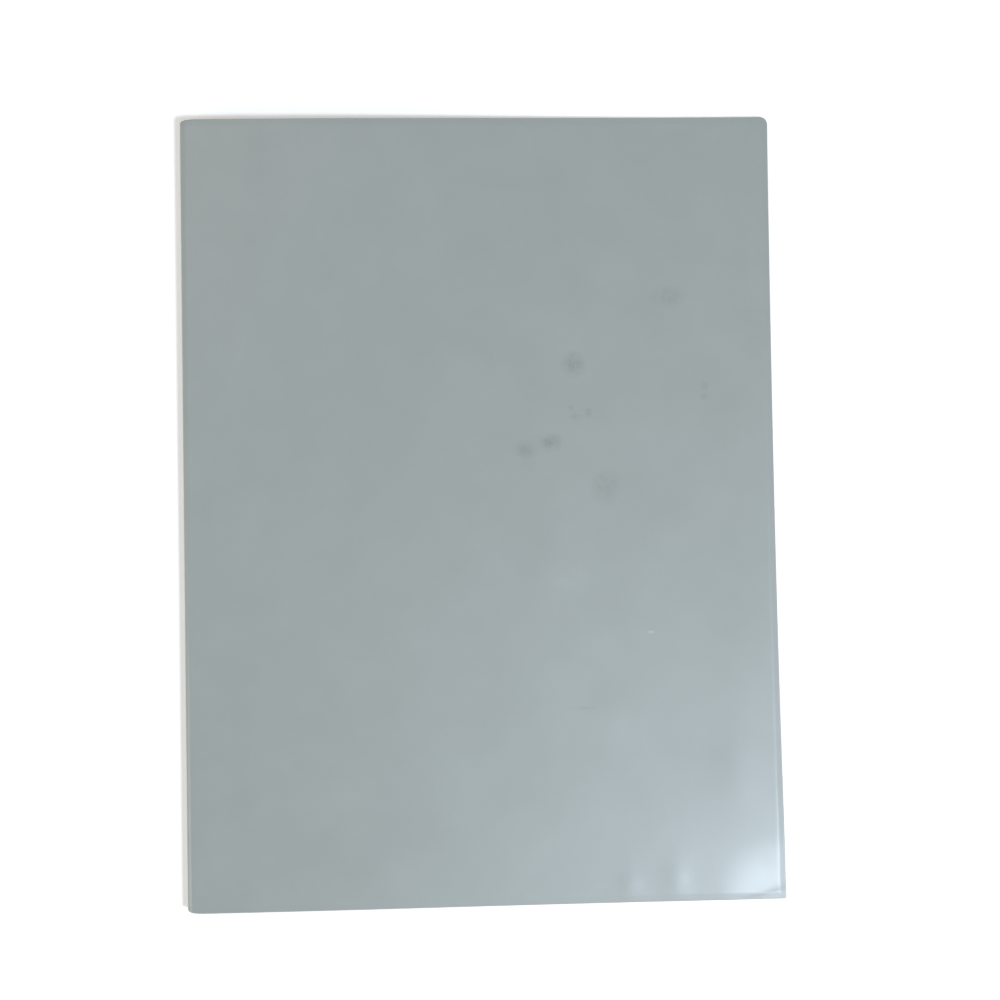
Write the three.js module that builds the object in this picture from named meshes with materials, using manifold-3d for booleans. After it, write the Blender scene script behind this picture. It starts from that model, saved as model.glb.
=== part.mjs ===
// A soft vinyl report folder for A4 sheets, closed, with a bar fastener inside it.
// Millimetres. X runs from the spine to the fore-edge, Y from the foot to the head, Z up.
// The origin is the middle of the footprint, on the surface that the back cover lies on.

import * as THREE from 'three';
import { mergeVertices } from 'three/addons/utils/BufferGeometryUtils.js';
import Module from 'manifold-3d';

// Cover
const folderWidth = 235;
const folderHeight = 312;
const sheetThickness = 0.8;
const weldThickness = 0.5;
const weldWidth = 2.4;
const headCornerRadius = 3;
const foldRadius = 3;
const drapeLead = 2;
const drapeLength = 200;

// Flap and its hem
const punchMargin = 12;
const flapPly = 0.35;
const flapEndMargin = 5;
const hemSlope = 2;

// Bent metal strip
const prongSpacing = 81;
const prongWidth = 2.3;
const prongThickness = 0.35;
const prongBend = 0.6;
const prongTipSpacing = 35.6;

// Moulded bar
const barLength = 79;
const barWidth = 10.2;
const barThickness = 1.8;
const barFloor = 0.7;
const barEdge = 0.3;
const keyholeSpacing = 30.2;
const keyholeRadius = 1.78;
const throughSlotSpacing = 38;
const hookSpacing = 62.2;
const hookLength = 4.2;
const hookReach = 3.1;
const hookPost = 1.9;
const hookThroat = 0.45;
const hookThickness = 0.9;
const hookEdge = 0.2;

// Clearances
const seatGap = 0.3;
const slideGap = 0.3;
const hookClearance = 0.6;
const postGap = 0.3;
const overshoot = 1;

// Smoothness
const arcSteps = 6;
const drapeSteps = 28;
const curveSegments = 20;
const edgeSteps = 2;

// Levels, from the back cover up to the front cover
const flapBottom = sheetThickness + seatGap;
const pocketHeight = prongThickness + 2 * slideGap;
const pocketBottom = flapBottom + flapPly;
const pocketTop = pocketBottom + pocketHeight;
const hemTop = pocketTop + flapPly;
const stripLevel = pocketBottom + slideGap + prongThickness / 2;
const barBottom = hemTop + seatGap;
const barTop = barBottom + barThickness;
const grooveFloor = barBottom + barFloor;
const prongLevel = grooveFloor + slideGap + prongThickness / 2;
const hookBottom = barTop + hookThroat;
const hookTop = hookBottom + hookThickness;
const frontInside = hookTop + hookClearance;
const spineHeight = frontInside + sheetThickness;
const frontRest = sheetThickness + seatGap;

// Places, from the spine to the fore-edge
const spineX = -folderWidth / 2;
const foreEdgeX = folderWidth / 2;
const foldCentreX = spineX + foldRadius;
const seamX = foldCentreX;
const prongX = seamX + punchMargin;
const pocketHalf = prongWidth / 2 + slideGap;
const hemEdgeX = prongX + pocketHalf + flapPly;
const drapeStartX = prongX + barWidth / 2 + drapeLead;
const drapeEndX = drapeStartX + drapeLength;
const sheetMiddle = sheetThickness / 2;
const foldMiddleRadius = foldRadius - sheetMiddle;
const foldSplit = THREE.MathUtils.degToRad(45);
const foldGapAngle = seatGap / 2 / foldMiddleRadius;

const wasm = await Module();
wasm.setup();

// A closed geometry as a solid that can be joined and cut.
function solidFrom(geometry) {
  geometry.deleteAttribute('normal');
  geometry.deleteAttribute('uv');
  const merged = mergeVertices(geometry);
  return new wasm.Manifold(new wasm.Mesh({
    numProp: 3,
    vertProperties: new Float32Array(merged.attributes.position.array),
    triVerts: new Uint32Array(merged.index.array),
  }));
}

// An outline in X and Y, carried up from one level to another.
function upright(outline, bottom, top) {
  const geometry = new THREE.ExtrudeGeometry(outline, {
    depth: top - bottom,
    bevelEnabled: false,
    curveSegments,
  });
  geometry.translate(0, 0, bottom);
  return solidFrom(geometry);
}

// The same, with both rims softened by a small edge.
function uprightSoftened(outline, bottom, top, edge) {
  const geometry = new THREE.ExtrudeGeometry(outline, {
    depth: top - bottom - 2 * edge,
    bevelThickness: edge,
    bevelSize: edge,
    bevelOffset: -edge,
    bevelSegments: edgeSteps,
    curveSegments,
  });
  geometry.translate(0, 0, bottom + edge);
  return solidFrom(geometry);
}

// A profile in X and Z, carried along Y and centred on the middle of the folder.
function alongFolder(profile, length) {
  const geometry = new THREE.ExtrudeGeometry(profile, {
    depth: length,
    bevelEnabled: false,
    curveSegments,
  });
  geometry.rotateX(Math.PI / 2);
  geometry.translate(0, length / 2, 0);
  return solidFrom(geometry);
}

// A profile in Y and Z, carried along X and centred on the prongs' line.
function acrossProngs(profile, width) {
  const geometry = new THREE.ExtrudeGeometry(profile, {
    depth: width,
    bevelEnabled: false,
    curveSegments,
  });
  const turned = new THREE.Matrix4().makeBasis(
    new THREE.Vector3(0, 1, 0),
    new THREE.Vector3(0, 0, 1),
    new THREE.Vector3(1, 0, 0),
  );
  geometry.applyMatrix4(turned);
  geometry.translate(prongX - width / 2, 0, 0);
  return solidFrom(geometry);
}

// A block between two corners.
function block(low, high) {
  const size = high.map((value, axis) => value - low[axis]);
  const middle = high.map((value, axis) => (value + low[axis]) / 2);
  const geometry = new THREE.BoxGeometry(...size);
  geometry.translate(...middle);
  return solidFrom(geometry);
}

// Points on an arc, ends included. Angles are in radians from +X.
function arc(centreX, centreZ, radius, from, to, steps = arcSteps) {
  const points = [];
  for (let step = 0; step <= steps; step += 1) {
    const angle = from + (to - from) * step / steps;
    points.push(new THREE.Vector2(
      centreX + radius * Math.cos(angle),
      centreZ + radius * Math.sin(angle),
    ));
  }
  return points;
}

// A band of even thickness that follows a line of points.
function ribbon(line, thickness) {
  const oneSide = [];
  const otherSide = [];
  line.forEach((point, index) => {
    const before = line[Math.max(index - 1, 0)];
    const after = line[Math.min(index + 1, line.length - 1)];
    const along = after.clone().sub(before).normalize();
    const aside = new THREE.Vector2(-along.y, along.x).multiplyScalar(thickness / 2);
    oneSide.push(point.clone().add(aside));
    otherSide.unshift(point.clone().sub(aside));
  });
  return new THREE.Shape([...oneSide, ...otherSide]);
}

// The cover seen from above, drawn in by an inset on its three free edges.
function coverOutline(inset) {
  const left = spineX - overshoot;
  const right = foreEdgeX - inset;
  const head = folderHeight / 2 - inset;
  const radius = headCornerRadius - inset;
  const outline = new THREE.Shape();
  outline.moveTo(left, -head);
  outline.lineTo(right, -head);
  if (radius > 0) {
    outline.absarc(right - radius, head - radius, radius, 0, Math.PI / 2, false);
  } else {
    outline.lineTo(right, head);
  }
  outline.lineTo(left, head);
  return outline;
}

// A length of cover: a full sheet inside a thinner welded border.
function coverSheet(line) {
  const low = -overshoot;
  const high = spineHeight + overshoot;
  const panel = alongFolder(ribbon(line, sheetThickness), folderHeight)
    .intersect(upright(coverOutline(weldWidth), low, high));
  const border = alongFolder(ribbon(line, weldThickness), folderHeight)
    .intersect(upright(coverOutline(0), low, high));
  return panel.add(border);
}

// The back cover lies flat, and its inner end starts the lower fold.
function backCover() {
  const foldStart = -Math.PI / 2;
  const foldEnd = foldStart - foldSplit + foldGapAngle;
  return coverSheet([
    new THREE.Vector2(foreEdgeX, sheetMiddle),
    ...arc(foldCentreX, foldRadius, foldMiddleRadius, foldStart, foldEnd),
  ]);
}

// The spine takes half of each fold.
function spineStrip() {
  const lowerStart = -Math.PI / 2 - foldSplit - foldGapAngle;
  const upperEnd = Math.PI / 2 + foldSplit + foldGapAngle;
  return coverSheet([
    ...arc(foldCentreX, foldRadius, foldMiddleRadius, lowerStart, -Math.PI),
    ...arc(foldCentreX, spineHeight - foldRadius, foldMiddleRadius, Math.PI, upperEnd),
  ]);
}

// The front cover lies over the fastener, then drapes down on to the back cover.
function frontCover() {
  const foldStart = Math.PI / 2 + foldSplit - foldGapAngle;
  const high = spineHeight - sheetMiddle;
  const low = frontRest + sheetMiddle;
  const line = arc(foldCentreX, spineHeight - foldRadius, foldMiddleRadius, foldStart, Math.PI / 2);
  for (let step = 0; step <= drapeSteps; step += 1) {
    const along = step / drapeSteps;
    const fall = (1 - Math.cos(Math.PI * along)) / 2;
    line.push(new THREE.Vector2(
      drapeStartX + drapeLength * along,
      high + (low - high) * fall,
    ));
  }
  line.push(new THREE.Vector2(foreEdgeX, low));
  return coverSheet(line);
}

// The flap is one strip folded on itself, with a pocket for the metal strip in its hem.
function fastenerFlap() {
  const doubled = flapBottom + 2 * flapPly;
  const pocketLeft = prongX - pocketHalf;
  const pocketRight = prongX + pocketHalf;
  const hemLeft = pocketLeft - flapPly;
  const hemRadius = (hemTop - flapBottom) / 2;
  const profile = new THREE.Shape();
  profile.moveTo(seamX, flapBottom);
  profile.lineTo(hemEdgeX - flapPly, flapBottom);
  profile.lineTo(hemEdgeX, flapBottom + flapPly);
  profile.lineTo(hemEdgeX, hemTop - flapPly);
  profile.lineTo(hemEdgeX - flapPly, hemTop);
  profile.lineTo(hemLeft, hemTop);
  profile.lineTo(hemLeft - hemSlope, doubled);
  profile.lineTo(seamX, doubled);
  const pocket = new THREE.Path();
  pocket.moveTo(pocketLeft, pocketBottom);
  pocket.lineTo(pocketRight, pocketBottom);
  pocket.lineTo(pocketRight, pocketTop);
  pocket.lineTo(pocketLeft, pocketTop);
  profile.holes.push(pocket);
  let flap = alongFolder(profile, folderHeight - 2 * flapEndMargin);
  for (const side of [-1, 1]) {
    const slitY = side * prongSpacing / 2;
    const slitHalf = prongThickness / 2 + slideGap;
    flap = flap.subtract(block(
      [pocketLeft, slitY - slitHalf, pocketBottom + flapPly],
      [pocketRight, slitY + slitHalf, hemTop + overshoot],
    ));
  }
  return flap;
}

// The metal strip runs in the hem, up through both slits and back over the bar's grooves.
function prongStrip() {
  const riseY = prongSpacing / 2;
  const turnY = riseY - prongBend;
  const tipRadius = prongWidth / 2;
  const tipCentreY = prongTipSpacing / 2 + tipRadius;
  const quarter = Math.PI / 2;
  const headHalf = [
    ...arc(turnY, stripLevel + prongBend, prongBend, -quarter, 0),
    ...arc(turnY, prongLevel - prongBend, prongBend, 0, quarter),
    new THREE.Vector2(tipCentreY, prongLevel),
  ];
  const footHalf = headHalf.map((point) => new THREE.Vector2(-point.x, point.y)).reverse();
  let strip = acrossProngs(ribbon([...footHalf, ...headHalf], prongThickness), prongWidth);
  for (const side of [-1, 1]) {
    const tip = new THREE.Shape();
    tip.absarc(prongX, side * tipCentreY, tipRadius, 0, 2 * Math.PI, false);
    const low = prongLevel - prongThickness / 2;
    strip = strip.add(upright(tip, low, low + prongThickness));
  }
  return strip;
}

// One hook of the bar. Its post stands beside the groove, and its arm crosses over it.
function barHook(side) {
  const y = side * hookSpacing / 2;
  const halfLength = hookLength / 2;
  const postNear = prongWidth / 2 + slideGap + postGap;
  const postFar = postNear + hookPost;
  const roundX = prongX - side * (hookReach - halfLength);
  const footX = prongX + side * postFar;
  const arm = new THREE.Shape();
  arm.moveTo(footX, y - side * halfLength);
  arm.lineTo(footX, y + side * halfLength);
  arm.lineTo(roundX, y + side * halfLength);
  arm.absarc(roundX, y, halfLength, side * Math.PI / 2, side * Math.PI / 2 + Math.PI, false);
  const postXs = [prongX + side * postNear, footX].sort((a, b) => a - b);
  const post = block(
    [postXs[0], y - halfLength + hookEdge, barTop - barEdge],
    [postXs[1], y + halfLength - hookEdge, hookBottom + hookThickness / 2],
  );
  return uprightSoftened(arm, hookBottom, hookTop, hookEdge).add(post);
}

// The bar is a rounded strip with a groove from each end, a short slot and a keyhole.
function compressorBar() {
  const endRadius = barWidth / 2;
  const endY = barLength / 2 - endRadius;
  const outline = new THREE.Shape();
  outline.absarc(prongX, endY, endRadius, 0, Math.PI, false);
  outline.absarc(prongX, -endY, endRadius, Math.PI, 2 * Math.PI, false);
  let bar = uprightSoftened(outline, barBottom, barTop, barEdge);
  const grooveHalf = prongWidth / 2 + slideGap;
  for (const side of [-1, 1]) {
    const slotYs = [side * keyholeSpacing / 2, side * throughSlotSpacing / 2].sort((a, b) => a - b);
    const grooveYs = [slotYs[0], slotYs[1], side * (barLength / 2 + overshoot)].sort((a, b) => a - b);
    const groove = block(
      [prongX - grooveHalf, grooveYs[0], grooveFloor],
      [prongX + grooveHalf, grooveYs[2], barTop + overshoot],
    );
    const slot = block(
      [prongX - grooveHalf, slotYs[0], barBottom - overshoot],
      [prongX + grooveHalf, slotYs[1], barTop + overshoot],
    );
    const eye = new THREE.Shape();
    eye.absarc(prongX, side * keyholeSpacing / 2, keyholeRadius, 0, 2 * Math.PI, false);
    const keyhole = upright(eye, barBottom - overshoot, barTop + overshoot);
    bar = bar.subtract(groove).subtract(slot).subtract(keyhole);
  }
  for (const side of [-1, 1]) {
    bar = bar.add(barHook(side));
  }
  return bar;
}

const outerVinyl = new THREE.MeshStandardMaterial({ color: 0xa0a9aa, roughness: 0.4, metalness: 0 });
const innerVinyl = new THREE.MeshStandardMaterial({ color: 0xc6bfb4, roughness: 0.45, metalness: 0 });
const tinplate = new THREE.MeshStandardMaterial({ color: 0x9a958d, roughness: 0.35, metalness: 1 });
const blackPlastic = new THREE.MeshStandardMaterial({ color: 0x17171a, roughness: 0.5, metalness: 0 });

// A solid as a named mesh.
function piece(name, solid, material) {
  const mesh = solid.getMesh();
  const geometry = new THREE.BufferGeometry();
  geometry.setAttribute('position', new THREE.BufferAttribute(mesh.vertProperties, mesh.numProp));
  geometry.setIndex(new THREE.BufferAttribute(mesh.triVerts, 1));
  geometry.computeVertexNormals();
  const named = new THREE.Mesh(geometry, material);
  named.name = name;
  return named;
}

const group = new THREE.Group();
group.add(piece('back_cover', backCover(), outerVinyl));
group.add(piece('spine', spineStrip(), outerVinyl));
group.add(piece('front_cover', frontCover(), outerVinyl));
group.add(piece('fastener_flap', fastenerFlap(), innerVinyl));
group.add(piece('prong_strip', prongStrip(), tinplate));
group.add(piece('compressor_bar', compressorBar(), blackPlastic));

export default group;
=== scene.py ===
import math

import bpy
import numpy as np
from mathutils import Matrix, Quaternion, Vector, noise


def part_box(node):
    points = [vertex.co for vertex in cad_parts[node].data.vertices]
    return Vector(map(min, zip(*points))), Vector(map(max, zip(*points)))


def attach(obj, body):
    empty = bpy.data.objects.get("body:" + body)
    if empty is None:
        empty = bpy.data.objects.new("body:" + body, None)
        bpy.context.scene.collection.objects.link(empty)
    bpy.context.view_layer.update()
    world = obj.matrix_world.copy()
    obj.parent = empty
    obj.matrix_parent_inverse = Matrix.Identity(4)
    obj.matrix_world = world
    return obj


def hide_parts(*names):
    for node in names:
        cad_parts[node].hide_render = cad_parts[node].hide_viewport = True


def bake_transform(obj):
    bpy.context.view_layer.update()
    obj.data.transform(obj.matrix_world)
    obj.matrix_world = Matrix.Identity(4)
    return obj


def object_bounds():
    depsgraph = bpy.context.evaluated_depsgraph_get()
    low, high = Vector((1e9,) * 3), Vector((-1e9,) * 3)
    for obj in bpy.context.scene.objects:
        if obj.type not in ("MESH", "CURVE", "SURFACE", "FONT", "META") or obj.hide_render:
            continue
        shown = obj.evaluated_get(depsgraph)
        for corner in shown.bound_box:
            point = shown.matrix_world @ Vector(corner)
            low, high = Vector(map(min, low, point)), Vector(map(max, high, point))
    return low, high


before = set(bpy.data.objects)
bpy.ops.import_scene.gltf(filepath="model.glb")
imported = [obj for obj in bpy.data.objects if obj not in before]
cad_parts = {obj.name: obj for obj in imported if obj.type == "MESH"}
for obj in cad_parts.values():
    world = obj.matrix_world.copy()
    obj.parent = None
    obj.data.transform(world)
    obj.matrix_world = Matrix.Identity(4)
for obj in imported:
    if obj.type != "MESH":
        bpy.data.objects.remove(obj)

# The look of a soft vinyl report folder, closed, with its bar fastener inside. Metres, +Z up,
# spine towards -X, head towards +Y.
MM = 0.001
CAD_LOW, CAD_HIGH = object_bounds()

# Cover sheet. Its material knows the distance from the welded edge up to the rim's reach.
SHEET = 0.8 * MM
WELD_WIDTH = 2.4 * MM
WELD_PRESS = 0.045 * MM
WELD_RAMP = 0.9 * MM
RIM_RADIUS = 0.22 * MM
RIM_REACH = 6.0 * MM
FOLD_RADIUS = 3.0 * MM
HEAD_CORNER = 3.0 * MM
FOOT_CORNER = 0.7 * MM
SPINE_CORNER_X = 6.5 * MM
SPINE_CORNER_Y = 1.3 * MM
EDGE_BOW = 0.8 * MM
DRAPE_START = 22.1 * MM
DRAPE_LENGTH = 200.0 * MM
REST_GAP = 0.3 * MM

# Grid of a cover sheet. The edge places are close together where the weld's relief bends.
GRID_STEP = 1.7 * MM
ARC_STEPS = 12
STRAIGHT_STEPS = 3
SHARP_ANGLE = math.radians(50)
EDGE_PLACES = MM * np.array([
    0.0, 0.06, 0.14, 0.22, 0.6, 1.2, 1.8, 2.1, 2.28, 2.46, 2.64, 2.9, 3.5, 4.4,
])

# Where the flat starts along the unfolded sheet, and how much further that is than along X
SHEET_TO_FLAT = 5.5 * MM
SHEET_LEAD = SHEET_TO_FLAT - FOLD_RADIUS

# Front cover's waves: height, size and seed of each noise, then crease and swell over the bar
WAVE_START = 9.0 * MM
WAVE_EASE = 12.0 * MM
BROAD_WAVE = (0.22 * MM, 85 * MM, 3.1)
SMALL_WAVE = (0.06 * MM, 30 * MM, 7.7)
WAVE_SINK = 0.05 * MM
LOWEST_WAVE = -0.1 * MM
CREASE_HEIGHT = 0.16 * MM
CREASE_PLACE = 26 * MM
CREASE_WIDTH = 5 * MM
SWELL_HEIGHT = 0.06 * MM
SWELL_START = 6 * MM
SWELL_FROM_SPINE = (26 * MM, 16 * MM)
SWELL_FROM_MIDDLE = (60 * MM, 30 * MM)

# Dents on the front cover: centre, half widths along X and Y, and height
FRONT_DENTS = [
    (100 * MM, -98 * MM, 8 * MM, 22 * MM, 0.12 * MM),
    (55.5 * MM, -149 * MM, 4 * MM, 7 * MM, 0.07 * MM),
    (74 * MM, -148 * MM, 5 * MM, 9 * MM, 0.11 * MM),
    (8 * MM, -70 * MM, 2.5 * MM, 60 * MM, 0.03 * MM),
]

# Foot corner at the fore-edge: heights, and how far each reaches in and over what length it eases
RAISED_FROM_FOOT = (
    (0.8 * MM, 140 * MM, 115 * MM),
    (0.35 * MM, 70 * MM, 55 * MM),
)
RAISED_FROM_FORE_EDGE = (132 * MM, 119 * MM)
DROOP_HEIGHT = 0.76 * MM
DROOP_FROM_FORE_EDGE = (27 * MM, 32 * MM)
DROOP_FROM_FOOT = (24 * MM, 18 * MM)
CURL_HEIGHT = 0.1 * MM
CURL_SLANT = 0.25
CURL_FROM_FOOT = (5.6 * MM, 2.2 * MM)
CURL_FROM_FORE_EDGE = (26 * MM, 12 * MM)

# Back cover's ridges beside the fastener: place past the seam, and height and half width of each
CREST_X = 21.3 * MM
CREST_REACH = 3.0 * MM
CREST_STATIONS = 16
CREST_MARGIN = 0.3 * MM
CREST_BUMPS = ((0.6 * MM, 2.8 * MM), (0.27 * MM, 0.8 * MM))
SECOND_CREST_X = 29 * MM
SECOND_CREST = (0.25 * MM, 3.0 * MM)
RIDGE_START = 12.0 * MM
RIDGE_EASE = 10.0 * MM
RIDGE_SWAY = 0.8 * MM
RIDGE_SWAY_LENGTH = 60 * MM
RIDGE_END = 120 * MM
RIDGE_END_EASE = 34 * MM
RIDGE_END_LOSS = 0.6
SLOW_WAVE = (0.02 * MM, 60 * MM, 11.3)

# Flap
PLY = 0.35 * MM
FLAP_BOTTOM = 1.1 * MM
PUNCH_MARGIN = 12.0 * MM
POCKET_HALF = 1.45 * MM
POCKET_HEIGHT = 0.95 * MM
UPPER_PLY_LEVEL = 1.2 * MM
HEM_SLOPE = 3.2 * MM
HEM_SLOPE_START = 0.4 * MM
HEM_ROUNDNESS = 0.8
HEM_MARGIN = 0.1 * MM
LOWER_PLY_STEPS = 15
HEM_STEPS = 12
UPPER_PLY_STEPS = 25

# Flap's slits, and its grid along Y
PRONG_RISE = 40.5 * MM
SLIT_HALF = 0.475 * MM
SLIT_PLACES = np.array([-3.0, -2.0, -1.2, -0.475, 0.475, 1.2, 2.0, 3.0]) * MM
SLIT_REACH = 5 * MM
END_STATIONS = 66
MIDDLE_STATIONS = 46

# Flap's ripples, which fade in on its upper ply and out at the seam
RIPPLE = (0.06 * MM, 14 * MM, 5.2)
RIPPLE_START = 3 * MM
RIPPLE_END = 4 * MM
PUCKER_HEIGHT = 0.14 * MM
PUCKER_HALF_Y = 2.6 * MM
PUCKER_HALF_X = 2.2 * MM
PUCKER_BESIDE_PRONG = 3.6 * MM
EDGE_SWAY = (0.12 * MM, 26 * MM, 9.4)
BAR_END_EASE = 3 * MM
BAR_END_LEAD = 0.2

# Weld along the flap's seam: how wide it is and where it fades, and its teeth
WELD_LINE = 0.7 * MM
WELD_LINE_FADE = 0.6 * WELD_LINE
TOOTH_PITCH = 0.8 * MM
TOOTH_EDGE = (0.1 * TOOTH_PITCH, 0.3 * TOOTH_PITCH)

# Softened edges of the bar and the metal strip
EDGE_WIDTH = 0.09 * MM
EDGE_SEGMENTS = 2
EDGE_ANGLE = math.radians(40)

# Colours, as sRGB levels
COVER_COLOUR = (158, 165, 162)
COVER_DARK = (156, 163, 160)
COVER_LIGHT = (160, 167, 164)
INSIDE_COLOUR = (196, 187, 173)
INSIDE_DARK = (193, 184, 170)
INSIDE_LIGHT = (198, 189, 176)
FLAP_COLOUR = (198, 189, 175)
FLAP_DARK = (195, 186, 172)
FLAP_LIGHT = (201, 192, 179)
TOOTH_COLOUR = (172, 162, 148)
BAR_COLOUR = (6, 6, 7)
BAR_SPECK = (60, 60, 60)
TIN_COLOUR = (114, 108, 100)

# Roughness: each material's plain value, and from its glossiest to its dullest spots
COVER_PLAIN = 0.3
INSIDE_PLAIN = 0.34
FLAP_PLAIN = 0.3
BAR_PLAIN = 0.45
TIN_PLAIN = 0.36
COVER_ROUGHNESS = (0.28, 0.33)
INSIDE_ROUGHNESS = (0.3, 0.38)
BAR_ROUGHNESS = (0.4, 0.52)
TIN_ROUGHNESS = (0.26, 0.46)

# Reflection, where it isn't the usual 0.5
COVER_SPECULAR = 0.55
BAR_SPECULAR = 0.1

# A cover's welded border is duller and darker, and fades out between two distances from the edge
BORDER_ROUGHER = 0.07
BORDER_SHADE = (0.965, 0.965, 0.965, 1.0)
BORDER_FADE = (1.2 * WELD_WIDTH, 0.8 * WELD_WIDTH)

# Noise textures: scale and detail, and roughness where it isn't the usual one
USUAL_DETAIL = 3.0
USUAL_ROUGH = 0.55
COVER_MOTTLE = (55.0, 5.0, 0.6)
COVER_GLOSS = (35.0, 5.0)
INSIDE_CLOUD = (40.0, 4.0)
INSIDE_GLOSS = (30.0, 5.0)
BAR_RUB = (260.0, 5.0)
BAR_SPECKS = (1100.0, 2.0)
TIN_STREAKS = (900.0, 4.0)
MARK_EDGES = (420.0, 4.0, 0.7)

# Noise values that count as none and as full
NOISE_RANGE = (0.3, 0.7)
BAR_RUB_RANGE = (0.35, 0.7)
BAR_SPECK_RANGE = (0.76, 0.8)

# Grain: scale, strength and depth. The metal's streaks are stretched along Y.
VINYL_GRAIN = (900.0, 0.06, 0.2 * MM)
BAR_GRAIN = (2600.0, 0.12, 0.1 * MM)
TIN_STRETCH = (6.0, 0.4, 6.0)

# Scuffs and smudges on the front cover, and painted highlights on the dents at its foot: centre, half
# widths and how much darker or lighter
SMUDGES_AND_PAINTED_HIGHLIGHTS = [
    (37.8 * MM, 57.0 * MM, 5.8 * MM, 6.2 * MM, -0.08),
    (36.5 * MM, 39.5 * MM, 1.6 * MM, 1.6 * MM, -0.06),
    (38.5 * MM, 36.0 * MM, 3.6 * MM, 1.5 * MM, -0.05),
    (43.5 * MM, 37.5 * MM, 2.2 * MM, 2.8 * MM, -0.05),
    (28.2 * MM, 26.0 * MM, 5.6 * MM, 4.6 * MM, -0.085),
    (18.0 * MM, 23.0 * MM, 5.2 * MM, 4.4 * MM, -0.065),
    (49.8 * MM, 7.6 * MM, 7.2 * MM, 8.6 * MM, -0.05),
    (76.0 * MM, 84.0 * MM, 8.2 * MM, 5.2 * MM, -0.05),
    (90.6 * MM, 47.6 * MM, 2.0 * MM, 2.2 * MM, -0.06),
    (90.6 * MM, 43.4 * MM, 2.8 * MM, 1.6 * MM, -0.06),
    (34.0 * MM, -29.0 * MM, 11.0 * MM, 9.0 * MM, 0.022),
    (67.0 * MM, -50.0 * MM, 2.0 * MM, 0.7 * MM, 0.14),
    (39.0 * MM, -79.5 * MM, 6.5 * MM, 0.9 * MM, -0.05),
    # Painted highlights: lighter spots where the dents at the foot catch the light
    (76.5 * MM, -147.5 * MM, 5.0 * MM, 3.5 * MM, 0.03),
    (58.5 * MM, -149.0 * MM, 4.5 * MM, 2.5 * MM, 0.025),
    (44.5 * MM, -149.0 * MM, 4.0 * MM, 2.5 * MM, 0.02),
]
MARK_CORE = 0.3
MARK_RAGGED = (0.3, 0.62, 0.3, 2.6)

# Floor, sky and lamps. The floor's glow is strength against distance, from near to far.
FLOOR_HALF = 6.0
FLOOR_DROP = 0.15 * MM
FLOOR_COLOUR = (0.93, 0.93, 0.93)
FLOOR_ROUGHNESS = 0.9
FLOOR_GLOW = (0.3, 1.2, 0.3, 1.0)
SKY_COLOUR = (1.0, 0.96, 0.9, 1.0)
SKY_STRENGTH = 0.31
LAMPS = [
    ("broad_lamp", (-0.55, 0.75, 1.5), 1.1, 2.8, (1.0, 0.94, 0.86)),
    ("side_lamp", (-1.3, -0.45, 0.35), 0.7, 5.0, (1.0, 0.95, 0.88)),
    ("window_lamp", (0.52, -0.39, 1.2), 0.26, 12.3, (0.75, 0.86, 1.0)),
]

# Camera, nearly straight above. Its turn is a rotation vector in radians.
CAMERA_PLACE = (-19.6 * MM, -34.2 * MM, 794.7 * MM)
CAMERA_TURN = (0.0476, -0.0333, -0.0172)
LENS = 72.0
SENSOR_WIDTH = 36.0

# Places from the frame
SPINE_X = CAD_LOW.x
FORE_EDGE_X = CAD_HIGH.x
HEAD_Y = CAD_HIGH.y
FOOT_Y = CAD_LOW.y
TOP_Z = CAD_HIGH.z
SEAM_X = SPINE_X + FOLD_RADIUS
PRONG_X = SEAM_X + PUNCH_MARGIN


def smooth(t):
    """Eases from 0 to 1."""
    t = np.clip(t, 0.0, 1.0)
    return t * t * (3.0 - 2.0 * t)


def half_cosine(t):
    """Half a cosine wave from 0 to 1."""
    return (1.0 - np.cos(math.pi * np.clip(t, 0.0, 1.0))) / 2.0


def within(distance, reach, ease):
    """1 near an edge, easing to 0 at the given reach from it."""
    return smooth((reach - distance) / ease)


def bump_at(x, centre, width):
    """A soft hump, 1 high, round a centre."""
    return np.exp(-((x - centre) / width) ** 2)


def noise_field(x, y, size, seed):
    """Smooth noise from -1 to 1 over points given as two arrays."""
    flat = [noise.noise(Vector((a / size, b / size, seed))) for a, b in zip(x.ravel(), y.ravel())]
    return np.array(flat).reshape(x.shape)


def noise_wave(x, y, wave):
    """Noise scaled by a wave's height, size and seed."""
    height, size, seed = wave
    return height * noise_field(x, y, size, seed)


def quads(index, keep):
    """The four corners of each kept square in a grid of point numbers."""
    a, b = index[:-1, :-1][keep], index[1:, :-1][keep]
    c, d = index[1:, 1:][keep], index[:-1, 1:][keep]
    return a, b, c, d


def open_edges(faces):
    """The edges that only one face uses."""
    edges = {}
    for face in faces:
        for start, end in zip(face, face[1:] + face[:1]):
            if (end, start) in edges:
                del edges[(end, start)]
            else:
                edges[(start, end)] = True
    return edges


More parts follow.
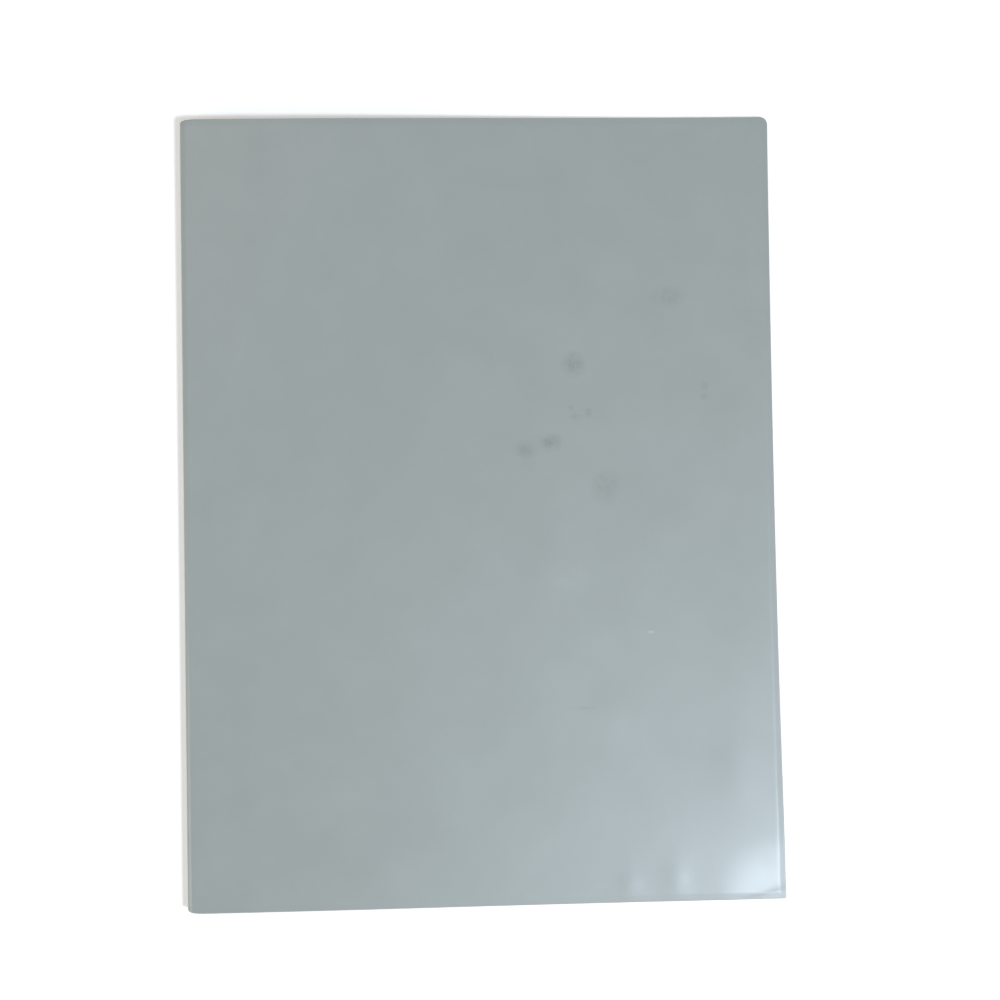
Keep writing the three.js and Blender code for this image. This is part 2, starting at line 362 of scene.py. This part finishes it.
def shell(name, outer, inner, keep=None):
    """A closed sheet between two grids of points, with walls along every open edge."""
    rows, columns = outer.shape[:2]
    size = rows * columns
    if keep is None:
        keep = np.ones((rows - 1, columns - 1), bool)
    index = np.arange(size).reshape(rows, columns)
    a, b, c, d = quads(index, keep)
    top = np.stack([a, b, c, d], 1).tolist()
    bottom = (np.stack([a, d, c, b], 1) + size).tolist()
    walls = [[end, start, start + size, end + size] for start, end in open_edges(top)]
    faces = top + bottom + walls
    points = np.concatenate([outer.reshape(-1, 3), inner.reshape(-1, 3)])
    used = sorted({v for face in faces for v in face})
    renumber = {old: new for new, old in enumerate(used)}
    mesh = bpy.data.meshes.new(name)
    mesh.from_pydata(points[used].tolist(), [], [[renumber[v] for v in face] for face in faces])
    mesh.update()
    piece = bpy.data.objects.new(name, mesh)
    bpy.context.scene.collection.objects.link(piece)
    parts = np.repeat(np.arange(3, dtype=np.int32), [len(top), len(bottom), len(walls)])
    attribute = mesh.attributes.new("part", "INT", "FACE")
    attribute.data.foreach_set("value", parts)
    mesh.shade_smooth()
    mesh.set_sharp_from_angle(angle=SHARP_ANGLE)
    return piece


def store_place(piece, places):
    """Keeps a place for each point, which its material uses and which doesn't move with a fold."""
    attribute = piece.data.attributes.new("flat_place", "FLOAT_VECTOR", "POINT")
    attribute.data.foreach_set("vector", places.astype(np.float32).ravel())


def edge_stations(low, high, step, edge_low=True):
    """Places along one side of a sheet, close together at its welded edges."""
    start = low + EDGE_PLACES if edge_low else np.array([low])
    end = high - EDGE_PLACES[::-1]
    count = max(int(round((end[0] - start[-1]) / step)), 1)
    middle = np.linspace(start[-1], end[0], count + 1)[1:-1]
    return np.concatenate([start, middle, end])


def flat_stations():
    """Places along X from the end of the fold to the fore-edge."""
    return edge_stations(SEAM_X, FORE_EDGE_X, GRID_STEP, edge_low=False)[1:]


def weld_relief(distance):
    """How far the welded border and its rounded rim lie below the sheet's face."""
    pressed = WELD_PRESS * (1.0 - smooth((distance - WELD_WIDTH) / WELD_RAMP + 0.5))
    inside = np.clip(RIM_RADIUS - distance, 0.0, RIM_RADIUS)
    rim = RIM_RADIUS - np.sqrt(RIM_RADIUS ** 2 - inside ** 2)
    return pressed + rim


def round_corner(x, y, corner_x, corner_y, radius, sign):
    """Bends the square fore-edge corner of a grid to a round one; sign is 1 at the head."""
    u = np.clip((x - corner_x) / radius + 1.0, 0.0, 1.0)
    v = np.clip((y - corner_y) * sign / radius + 1.0, 0.0, 1.0)
    inside = (u > 0) & (v > 0)
    new_x = corner_x + radius * (u * np.sqrt(1.0 - v ** 2 / 2.0) - 1.0)
    new_y = corner_y + radius * (v * np.sqrt(1.0 - u ** 2 / 2.0) - 1.0) * sign
    return np.where(inside, new_x, x), np.where(inside, new_y, y)


def front_line():
    """The front cover's outer face in X and Z, from the middle of the spine to the fore-edge."""
    angles = np.linspace(math.pi, math.pi / 2, ARC_STEPS + 1)
    fold_x = SPINE_X + FOLD_RADIUS * (1.0 + np.cos(angles))
    fold_z = TOP_Z - FOLD_RADIUS * (1.0 - np.sin(angles))
    straight_z = np.linspace(TOP_Z / 2, TOP_Z - FOLD_RADIUS, STRAIGHT_STEPS + 1)[:-1]
    flat_x = flat_stations()
    drop = TOP_Z - SHEET * 2 - REST_GAP
    flat_z = TOP_Z - drop * half_cosine((flat_x - SPINE_X - DRAPE_START) / DRAPE_LENGTH)
    x = np.concatenate([np.full(STRAIGHT_STEPS, SPINE_X), fold_x, flat_x])
    z = np.concatenate([straight_z, fold_z, flat_z])
    return x, z


def back_line():
    """The back cover's outer face, from the middle of the spine to the fore-edge."""
    angles = np.linspace(math.pi, 1.5 * math.pi, ARC_STEPS + 1)
    fold_x = SPINE_X + FOLD_RADIUS * (1.0 + np.cos(angles))
    fold_z = FOLD_RADIUS * (1.0 + np.sin(angles))
    straight_z = np.linspace(TOP_Z / 2, FOLD_RADIUS, STRAIGHT_STEPS + 1)[:-1]
    flat_x = flat_stations()
    crest_x = SEAM_X + CREST_X + np.linspace(-CREST_REACH, CREST_REACH, CREST_STATIONS)
    beside = (flat_x < crest_x[0] - CREST_MARGIN) | (flat_x > crest_x[-1] + CREST_MARGIN)
    flat_x = np.sort(np.concatenate([flat_x[beside], crest_x]))
    x = np.concatenate([np.full(STRAIGHT_STEPS, SPINE_X), fold_x, flat_x])
    z = np.concatenate([straight_z, fold_z, np.zeros(len(flat_x))])
    return x, z


def line_normals(x, z, turn):
    """Unit normals of a line in X and Z, on its outer side."""
    dx, dz = np.gradient(x), np.gradient(z)
    length = np.hypot(dx, dz)
    return -turn * dz / length, turn * dx / length


def along_line(x, z):
    """How far along a line each of its points lies."""
    return np.concatenate([[0.0], np.cumsum(np.hypot(np.diff(x), np.diff(z)))])


def across(values, y):
    """A line's values repeated over all the places along Y."""
    return np.repeat(values[:, None], len(y), 1)


def cover_outline(grid_x, grid_y):
    """Draws a square grid in to the cover's outline: spine corners, fore-edge and round corners."""
    from_spine = np.clip(1.0 - (grid_x - SPINE_X) / SPINE_CORNER_X, 0.0, 1.0)
    tuck = SPINE_CORNER_Y * (1.0 - np.sqrt(1.0 - from_spine ** 2))
    middle_y = (HEAD_Y + FOOT_Y) / 2
    half = (HEAD_Y - FOOT_Y) / 2
    share_y = (grid_y - middle_y) / half
    bow = EDGE_BOW * (1.0 - share_y ** 2) * smooth((grid_x - SPINE_X) / (FORE_EDGE_X - SPINE_X))
    x = grid_x - bow
    y = middle_y + share_y * (half - tuck)
    for corner_y, sign, radius in ((HEAD_Y, 1.0, HEAD_CORNER), (FOOT_Y, -1.0, FOOT_CORNER)):
        x, y = round_corner(x, y, FORE_EDGE_X, corner_y, radius, sign)
    return x, y


def cover_sheet(name, x, z, turn, waves):
    """One cover and its half of the spine as a thin closed sheet; turn is 1 at the front.

    The places kept for its material are along the unfolded sheet, Y, and in from the edge.
    """
    normal_x, normal_z = line_normals(x, z, turn)
    normal_x[0], normal_z[0] = -1.0, 0.0
    along = along_line(x, z)
    y = edge_stations(FOOT_Y, HEAD_Y, GRID_STEP)
    grid_x, grid_y = np.meshgrid(x, y, indexing="ij")
    grid_z = across(z, y)
    flat = across(along, y)
    to_edge = np.minimum(np.minimum(grid_y - FOOT_Y, HEAD_Y - grid_y), along[-1] - flat)
    relief = weld_relief(to_edge)
    nx = across(normal_x, y)
    nz = across(normal_z, y)
    lift = turn * waves(grid_x, grid_y, flat)
    out_x, out_y = cover_outline(grid_x, grid_y)
    sides = []
    for raised in (lift - relief, lift - SHEET + relief):
        sides.append(np.stack([out_x + nx * raised, out_y, grid_z + nz * raised], -1))
    place = np.stack([flat, grid_y, np.minimum(to_edge, RIM_REACH)], -1)
    if turn < 0:
        sides = [side[:, ::-1] for side in sides]
        place = place[:, ::-1]
    piece = shell(name, sides[0][::-1], sides[1][::-1])
    place = place[::-1].reshape(-1, 3)
    store_place(piece, np.concatenate([place, place]))
    return piece


def front_waves(x, y, flat):
    """The front cover's gentle waves and dents, above its plain form."""
    away = smooth((flat - WAVE_START) / WAVE_EASE)
    crease = CREASE_HEIGHT * bump_at(x, SPINE_X + CREASE_PLACE, CREASE_WIDTH)
    swell = SWELL_HEIGHT * within(np.abs(y), *SWELL_FROM_MIDDLE)
    swell *= within(x - SPINE_X, *SWELL_FROM_SPINE)
    swell *= smooth((flat - SWELL_START) / SWELL_START)
    lift = away * (noise_wave(x, y, BROAD_WAVE) + noise_wave(x, y, SMALL_WAVE) + crease) + swell
    for centre_x, centre_y, wide, tall, height in FRONT_DENTS:
        lift += height * bump_at(x, centre_x, wide) * bump_at(y, centre_y, tall)
    lift = np.maximum(lift, LOWEST_WAVE)
    return lift + foot_corner(x, y) - WAVE_SINK * away


def foot_corner(x, y):
    """The cover swells a little towards its foot corner, droops there, and its weld curls up."""
    from_foot = y - FOOT_Y
    from_fore_edge = FORE_EDGE_X - x
    raised = sum(height * within(from_foot, reach, ease) for height, reach, ease in RAISED_FROM_FOOT)
    raised *= within(from_fore_edge, *RAISED_FROM_FORE_EDGE)
    droop = DROOP_HEIGHT * within(from_fore_edge, *DROOP_FROM_FORE_EDGE)
    droop *= within(from_foot, *DROOP_FROM_FOOT)
    curl = CURL_HEIGHT * within(from_foot + CURL_SLANT * from_fore_edge, *CURL_FROM_FOOT)
    curl *= within(from_fore_edge, *CURL_FROM_FORE_EDGE)
    return raised - droop + curl


def back_waves(x, y, flat):
    """The back cover's soft ridges beside the fastener, and slight waves."""
    away = smooth((flat - RIDGE_START) / RIDGE_EASE)
    sway = RIDGE_SWAY * np.sin(y / RIDGE_SWAY_LENGTH)
    crest = SEAM_X + CREST_X + sway
    ridge = sum(height * bump_at(x, crest, width) for height, width in CREST_BUMPS)
    height, width = SECOND_CREST
    ridge += height * bump_at(x, SEAM_X + SECOND_CREST_X - sway, width)
    fading = 1.0 - smooth((np.abs(y) - RIDGE_END) / RIDGE_END_EASE) * RIDGE_END_LOSS
    slow = SLOW_WAVE[0] + noise_wave(x, y, SLOW_WAVE)
    return away * (ridge * fading + slow)


def flap_line():
    """The flap's middle line: out along the lower ply, round the hem, and back to the seam."""
    low = FLAP_BOTTOM + PLY / 2
    high = FLAP_BOTTOM + PLY + POCKET_HEIGHT + PLY / 2
    near = FLAP_BOTTOM + PLY * 1.5
    half = (high - low) / 2
    turn_x = PRONG_X + POCKET_HALF + PLY / 2 - half
    points = [(x, low) for x in np.linspace(SEAM_X, turn_x, LOWER_PLY_STEPS + 1)]
    for angle in np.linspace(-math.pi / 2, math.pi / 2, HEM_STEPS + 1)[1:]:
        points.append((turn_x + half * math.cos(angle) * HEM_ROUNDNESS,
                       (high + low) / 2 + half * math.sin(angle)))
    slit_left = PRONG_X - POCKET_HALF
    slit_right = PRONG_X + POCKET_HALF
    over = [x for x in (slit_right, PRONG_X, slit_left) if x < turn_x - HEM_MARGIN]
    points += [(x, high) for x in over]
    slope_x = slit_left - HEM_SLOPE_START
    for x in np.linspace(slope_x, SEAM_X, UPPER_PLY_STEPS + 1):
        points.append((x, high + (near - high) * float(smooth((slope_x - x) / HEM_SLOPE))))
    line = np.array(points)
    return line[:, 0], line[:, 1]


def flap_stations():
    """Places along the flap, close together at its slits."""
    low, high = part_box("fastener_flap")
    return np.concatenate([
        np.linspace(low.y, -PRONG_RISE - SLIT_REACH, END_STATIONS),
        -PRONG_RISE + SLIT_PLACES,
        np.linspace(-PRONG_RISE + SLIT_REACH, PRONG_RISE - SLIT_REACH, MIDDLE_STATIONS),
        PRONG_RISE + SLIT_PLACES,
        np.linspace(PRONG_RISE + SLIT_REACH, high.y, END_STATIONS),
    ])


def beyond_bar(y):
    """0 under the bar and 1 beyond its ends, so that the flap stays clear of it."""
    bar_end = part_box("compressor_bar")[1].y
    return smooth((np.abs(y) - bar_end) / BAR_END_EASE + BAR_END_LEAD)


def flap_ripples(grid_x, grid_y, along):
    """Slight ripples of the flap's upper ply, with a pucker beside each slit."""
    upper = smooth((along - along[-1] / 2) / RIPPLE_START)[:, None]
    free = smooth((along[-1] - along) / RIPPLE_END)[:, None] * upper
    ripple = (RIPPLE[0] + noise_wave(grid_x, grid_y, RIPPLE)) * free
    pucker = sum(PUCKER_HEIGHT * bump_at(grid_y, side * PRONG_RISE, PUCKER_HALF_Y) for side in (-1, 1))
    pucker = pucker * bump_at(grid_x, PRONG_X - PUCKER_BESIDE_PRONG, PUCKER_HALF_X) * free
    return (ripple + pucker) * beyond_bar(grid_y)


def outside_slits(x, z, y):
    """Which squares of the flap's grid stay once its slits are cut."""
    keep = np.ones((len(x) - 1, len(y) - 1), bool)
    middle_x = (x[:-1] + x[1:]) / 2
    middle_z = (z[:-1] + z[1:]) / 2
    middle_y = (y[:-1] + y[1:]) / 2
    upper = middle_z > FLAP_BOTTOM + UPPER_PLY_LEVEL
    over_pocket = upper & (np.abs(middle_x - PRONG_X) < POCKET_HALF)
    at_slit = np.abs(np.abs(middle_y) - PRONG_RISE) < SLIT_HALF
    keep[np.ix_(over_pocket, at_slit)] = False
    return keep


def fastener_flap():
    """The folded flap, open at its hem's ends, with a slit in its upper ply for each prong."""
    x, z = flap_line()
    normal_x, normal_z = line_normals(x, z, -1.0)
    y = flap_stations()
    grid_x, grid_y = np.meshgrid(x, y, indexing="ij")
    grid_z = across(z, y)
    nx = across(normal_x, y)
    nz = across(normal_z, y)
    lift = flap_ripples(grid_x, grid_y, along_line(x, z))
    sway = noise_wave(grid_x, grid_y, EDGE_SWAY) * smooth((grid_x - PRONG_X) / MM)
    sides = []
    for raised in (lift + PLY / 2, lift - PLY / 2):
        sides.append(np.stack([grid_x + nx * raised + sway, grid_y, grid_z + nz * raised], -1))
    piece = shell("flap_sheet", *sides, outside_slits(x, z, y))
    store_place(piece, np.array([vertex.co for vertex in piece.data.vertices]))
    return piece


def linear(red, green, blue):
    """An sRGB colour from 0 to 255, as the linear values that shaders take."""
    out = []
    for value in (red, green, blue):
        share = value / 255.0
        out.append(share / 12.92 if share <= 0.04045 else ((share + 0.055) / 1.055) ** 2.4)
    return tuple(out)


def material(name, colour, roughness):
    """A new material with the shader's plain values, its nodes and its shader."""
    made = bpy.data.materials.new(name)
    made.use_nodes = True
    tree = made.node_tree
    shader = tree.nodes["Principled BSDF"]
    shader.inputs["Base Color"].default_value = (*colour, 1.0)
    shader.inputs["Roughness"].default_value = roughness
    return made, tree, shader


def feed(tree, socket, value):
    """Sets a socket to a number or colour, or links it to another node's output."""
    if isinstance(value, bpy.types.NodeSocket):
        tree.links.new(value, socket)
    elif isinstance(value, tuple) and len(value) < len(socket.default_value):
        socket.default_value = (*value, 1.0)
    else:
        socket.default_value = value


def calculate(tree, operation, *values):
    """The result of a math node."""
    node = tree.nodes.new("ShaderNodeMath")
    node.operation = operation
    for socket, value in zip(node.inputs, values):
        feed(tree, socket, value)
    return node.outputs[0]


def calculate_vector(tree, operation, *values):
    """The same for vectors. Gives the node, because its outputs differ by operation."""
    node = tree.nodes.new("ShaderNodeVectorMath")
    node.operation = operation
    for socket, value in zip(node.inputs, values):
        feed(tree, socket, value)
    return node


def flat_coordinates(tree):
    """The places that store_place keeps, in metres."""
    place = tree.nodes.new("ShaderNodeAttribute")
    place.attribute_name = "flat_place"
    return place.outputs["Vector"]


def object_coordinates(tree):
    """The object's own coordinates, in metres."""
    return tree.nodes.new("ShaderNodeTexCoord").outputs["Object"]


def separate(tree, coordinates):
    """A node that gives the X, Y and Z of coordinates."""
    parts = tree.nodes.new("ShaderNodeSeparateXYZ")
    tree.links.new(coordinates, parts.inputs[0])
    return parts


def noise_node(tree, coordinates, scale, detail=USUAL_DETAIL, rough=USUAL_ROUGH):
    """A noise texture's value."""
    node = tree.nodes.new("ShaderNodeTexNoise")
    node.inputs["Scale"].default_value = scale
    node.inputs["Detail"].default_value = detail
    node.inputs["Roughness"].default_value = rough
    tree.links.new(coordinates, node.inputs["Vector"])
    return node.outputs["Fac"]


def ramp_between(tree, value, low, high, to_low=0.0, to_high=1.0):
    """Maps one range of values on to another, and keeps within it."""
    node = tree.nodes.new("ShaderNodeMapRange")
    node.inputs["From Min"].default_value = low
    node.inputs["From Max"].default_value = high
    node.inputs["To Min"].default_value = to_low
    node.inputs["To Max"].default_value = to_high
    tree.links.new(value, node.inputs["Value"])
    return node.outputs["Result"]


def noise_range(tree, coordinates, texture, to_low=0.0, to_high=1.0, between=NOISE_RANGE):
    """Noise spread between two values, from a texture's scale, detail and roughness."""
    return ramp_between(tree, noise_node(tree, coordinates, *texture), *between, to_low, to_high)


def mix_colours(tree, factor, first, second, blend="MIX"):
    """A colour between two, or the first multiplied by the second."""
    node = tree.nodes.new("ShaderNodeMix")
    node.data_type = "RGBA"
    node.blend_type = blend
    tree.links.new(factor, node.inputs[0])
    feed(tree, node.inputs[6], first)
    feed(tree, node.inputs[7], second)
    return node.outputs[2]


def add_grain(tree, shader, coordinates, grain):
    """A fine surface bump."""
    scale, strength, depth = grain
    bump = tree.nodes.new("ShaderNodeBump")
    bump.inputs["Strength"].default_value = strength
    bump.inputs["Distance"].default_value = depth
    tree.links.new(noise_node(tree, coordinates, scale), bump.inputs["Height"])
    tree.links.new(bump.outputs["Normal"], shader.inputs["Normal"])


def smudges_and_painted_highlights(tree, place):
    """One factor round 1 for all the smudges and the painted highlights, broken up by noise."""
    ragged = ramp_between(tree, noise_node(tree, place, *MARK_EDGES), *MARK_RAGGED)
    total = None
    for x, y, wide, tall, change in SMUDGES_AND_PAINTED_HIGHLIGHTS:
        offset = calculate_vector(tree, "SUBTRACT", place, (x - SPINE_X + SHEET_LEAD, y, 0.0))
        scaled = calculate_vector(tree, "DIVIDE", offset.outputs[0], (wide, tall, 1.0))
        length = calculate_vector(tree, "LENGTH", scaled.outputs[0])
        spot = ramp_between(tree, length.outputs["Value"], 1.0, MARK_CORE, 0.0, change)
        total = spot if total is None else calculate(tree, "ADD", total, spot)
    return calculate(tree, "MULTIPLY_ADD", total, ragged, 1.0)


def cover_vinyl(name, marks_and_highlights):
    """Smooth grey-blue vinyl with a faint mottle, and on the front cover smudges and painted
    highlights.
    """
    made, tree, shader = material(name, linear(*COVER_COLOUR), COVER_PLAIN)
    place = flat_coordinates(tree)
    mottle = noise_range(tree, place, COVER_MOTTLE)
    colour = mix_colours(tree, mottle, linear(*COVER_DARK), linear(*COVER_LIGHT))
    # Smudges darken the front cover, and painted highlights lighten a few spots at its foot
    if marks_and_highlights:
        scale = calculate_vector(tree, "SCALE", colour)
        tree.links.new(smudges_and_painted_highlights(tree, place), scale.inputs["Scale"])
        colour = scale.outputs[0]
    from_edge = separate(tree, place).outputs["Z"]
    border = ramp_between(tree, from_edge, *BORDER_FADE)
    colour = mix_colours(tree, border, colour, BORDER_SHADE, "MULTIPLY")
    tree.links.new(colour, shader.inputs["Base Color"])
    shader.inputs["Specular IOR Level"].default_value = COVER_SPECULAR
    gloss = noise_range(tree, place, COVER_GLOSS, *COVER_ROUGHNESS)
    rougher = calculate(tree, "MULTIPLY_ADD", border, BORDER_ROUGHER, gloss)
    tree.links.new(rougher, shader.inputs["Roughness"])
    add_grain(tree, shader, place, VINYL_GRAIN)
    return made


def inner_vinyl():
    """Warm white vinyl, smooth and a little dull."""
    made, tree, shader = material("inner_vinyl", linear(*INSIDE_COLOUR), INSIDE_PLAIN)
    place = flat_coordinates(tree)
    cloud = noise_range(tree, place, INSIDE_CLOUD)
    colour = mix_colours(tree, cloud, linear(*INSIDE_DARK), linear(*INSIDE_LIGHT))
    tree.links.new(colour, shader.inputs["Base Color"])
    gloss = noise_range(tree, place, INSIDE_GLOSS, *INSIDE_ROUGHNESS)
    tree.links.new(gloss, shader.inputs["Roughness"])
    add_grain(tree, shader, place, VINYL_GRAIN)
    return made


def flap_vinyl():
    """The same white vinyl, with the fine teeth of the weld along the flap's seam."""
    made, tree, shader = material("flap_vinyl", linear(*FLAP_COLOUR), FLAP_PLAIN)
    place = flat_coordinates(tree)
    cloud = noise_range(tree, place, INSIDE_CLOUD)
    colour = mix_colours(tree, cloud, linear(*FLAP_DARK), linear(*FLAP_LIGHT))
    parts = separate(tree, place)
    at_seam = ramp_between(tree, parts.outputs["X"], SEAM_X + WELD_LINE, SEAM_X + WELD_LINE_FADE)
    teeth = calculate(tree, "PINGPONG", parts.outputs["Y"], TOOTH_PITCH / 2)
    cut = ramp_between(tree, teeth, *TOOTH_EDGE)
    pressed = calculate(tree, "MULTIPLY", at_seam, cut)
    colour = mix_colours(tree, pressed, colour, linear(*TOOTH_COLOUR))
    tree.links.new(colour, shader.inputs["Base Color"])
    add_grain(tree, shader, place, VINYL_GRAIN)
    return made


def bar_plastic():
    """Black moulded plastic with a few pale specks."""
    made, tree, shader = material("bar_plastic", linear(*BAR_COLOUR), BAR_PLAIN)
    shader.inputs["Specular IOR Level"].default_value = BAR_SPECULAR
    coordinates = object_coordinates(tree)
    rub = noise_range(tree, coordinates, BAR_RUB, *BAR_ROUGHNESS, between=BAR_RUB_RANGE)
    tree.links.new(rub, shader.inputs["Roughness"])
    speck = noise_range(tree, coordinates, BAR_SPECKS, between=BAR_SPECK_RANGE)
    colour = mix_colours(tree, speck, linear(*BAR_COLOUR), linear(*BAR_SPECK))
    tree.links.new(colour, shader.inputs["Base Color"])
    add_grain(tree, shader, coordinates, BAR_GRAIN)
    return made


def tinplate():
    """Thin satin tinplate, streaked along its length."""
    made, tree, shader = material("tinplate", linear(*TIN_COLOUR), TIN_PLAIN)
    shader.inputs["Metallic"].default_value = 1.0
    stretch = tree.nodes.new("ShaderNodeMapping")
    stretch.inputs["Scale"].default_value = TIN_STRETCH
    tree.links.new(object_coordinates(tree), stretch.inputs["Vector"])
    streaks = noise_range(tree, stretch.outputs["Vector"], TIN_STREAKS, *TIN_ROUGHNESS)
    tree.links.new(streaks, shader.inputs["Roughness"])
    return made


def direct_ray(tree):
    """1 for rays that show the backdrop: from the camera, or by reflection or through glass."""
    seen = tree.nodes.new("ShaderNodeLightPath")
    total = seen.outputs["Is Camera Ray"]
    for kind in ("Is Glossy Ray", "Is Transmission Ray"):
        total = calculate(tree, "MAXIMUM", total, seen.outputs[kind])
    return total


def floor_material():
    """White, with a glow that only shows to direct rays and grows away from the folder."""
    made, tree, shader = material("floor_white", FLOOR_COLOUR, FLOOR_ROUGHNESS)
    shader.inputs["Specular IOR Level"].default_value = 0.0
    away = calculate_vector(tree, "LENGTH", object_coordinates(tree))
    strength = ramp_between(tree, away.outputs["Value"], *FLOOR_GLOW)
    glow = tree.nodes.new("ShaderNodeEmission")
    tree.links.new(calculate(tree, "MULTIPLY", direct_ray(tree), strength), glow.inputs["Strength"])
    both = tree.nodes.new("ShaderNodeAddShader")
    tree.links.new(shader.outputs[0], both.inputs[0])
    tree.links.new(glow.outputs[0], both.inputs[1])
    tree.links.new(both.outputs[0], tree.nodes["Material Output"].inputs["Surface"])
    return made


def floor_plane():
    """The white floor that the folder lies on."""
    mesh = bpy.data.meshes.new("floor")
    size = FLOOR_HALF
    corners = [(-size, -size), (size, -size), (size, size), (-size, size)]
    mesh.from_pydata([(x, y, -FLOOR_DROP) for x, y in corners], [], [(0, 1, 2, 3)])
    floor = bpy.data.objects.new("floor", mesh)
    bpy.context.scene.collection.objects.link(floor)
    mesh.materials.append(floor_material())


def sky():
    """A pale warm sky that shows as white to direct rays."""
    world = bpy.data.worlds.new("sky")
    bpy.context.scene.world = world
    world.use_nodes = True
    tree = world.node_tree
    plain = tree.nodes["Background"]
    plain.inputs["Color"].default_value = SKY_COLOUR
    plain.inputs["Strength"].default_value = SKY_STRENGTH
    white = tree.nodes.new("ShaderNodeBackground")
    white.inputs["Color"].default_value = (1.0, 1.0, 1.0, 1.0)
    choose = tree.nodes.new("ShaderNodeMixShader")
    tree.links.new(direct_ray(tree), choose.inputs[0])
    tree.links.new(plain.outputs[0], choose.inputs[1])
    tree.links.new(white.outputs[0], choose.inputs[2])
    tree.links.new(choose.outputs[0], tree.nodes["World Output"].inputs["Surface"])


def lamp(name, place, size, power, colour):
    """A square lamp that faces the folder."""
    data = bpy.data.lights.new(name, "AREA")
    data.shape = "SQUARE"
    data.size = size
    data.energy = power
    data.color = colour
    made = bpy.data.objects.new(name, data)
    bpy.context.scene.collection.objects.link(made)
    made.location = place
    made.rotation_mode = "QUATERNION"
    made.rotation_quaternion = (-Vector(place)).to_track_quat("-Z", "Y")


def camera():
    """Nearly straight above the folder, as the photograph is taken."""
    data = bpy.data.cameras.new("camera")
    data.lens = LENS
    data.sensor_width = SENSOR_WIDTH
    made = bpy.data.objects.new("camera", data)
    bpy.context.scene.collection.objects.link(made)
    made.location = CAMERA_PLACE
    made.rotation_mode = "QUATERNION"
    turn = Vector(CAMERA_TURN)
    made.rotation_quaternion = Quaternion(turn.normalized(), turn.length)
    bpy.context.scene.camera = made


def assign(piece, *materials):
    """The first material, or with a second one, that on the sheet's inner face."""
    for made in materials:
        piece.data.materials.append(made)
    if len(materials) > 1:
        parts = np.zeros(len(piece.data.polygons), np.int32)
        piece.data.attributes["part"].data.foreach_get("value", parts)
        piece.data.polygons.foreach_set("material_index", np.where(parts == 1, 1, 0).astype(np.int32))
    piece.data.attributes.remove(piece.data.attributes["part"])


# Camera, floor, sky and lamps
camera()
floor_plane()
sky()
for lamp_values in LAMPS:
    lamp(*lamp_values)

# Cover
outside, inside = cover_vinyl("cover_vinyl", False), inner_vinyl()

front = cover_sheet("front_sheet", *front_line(), 1.0, front_waves)
assign(front, cover_vinyl("marked_and_highlit_vinyl", True), inside)
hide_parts("front_cover", "spine")
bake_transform(front)

back = cover_sheet("back_sheet", *back_line(), -1.0, back_waves)
assign(back, outside, inside)
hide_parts("back_cover")
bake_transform(back)

# Flap
flap = fastener_flap()
assign(flap, flap_vinyl())
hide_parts("fastener_flap")
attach(flap, "back")

# Bar and metal strip, kept from the CAD
kept_nodes = (
    ("compressor_bar", bar_plastic(), "bar_plastic"),
    ("prong_strip", tinplate(), "tinplate"),
)
for node, made, slot in kept_nodes:
    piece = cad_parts[node]
    piece.data.materials.clear()
    piece.data.materials.append(made)
    edge = piece.modifiers.new("edge", "BEVEL")
    edge.width = EDGE_WIDTH
    edge.segments = EDGE_SEGMENTS
    edge.limit_method = "ANGLE"
    edge.angle_limit = EDGE_ANGLE

bpy.context.scene.view_settings.view_transform = "Standard"
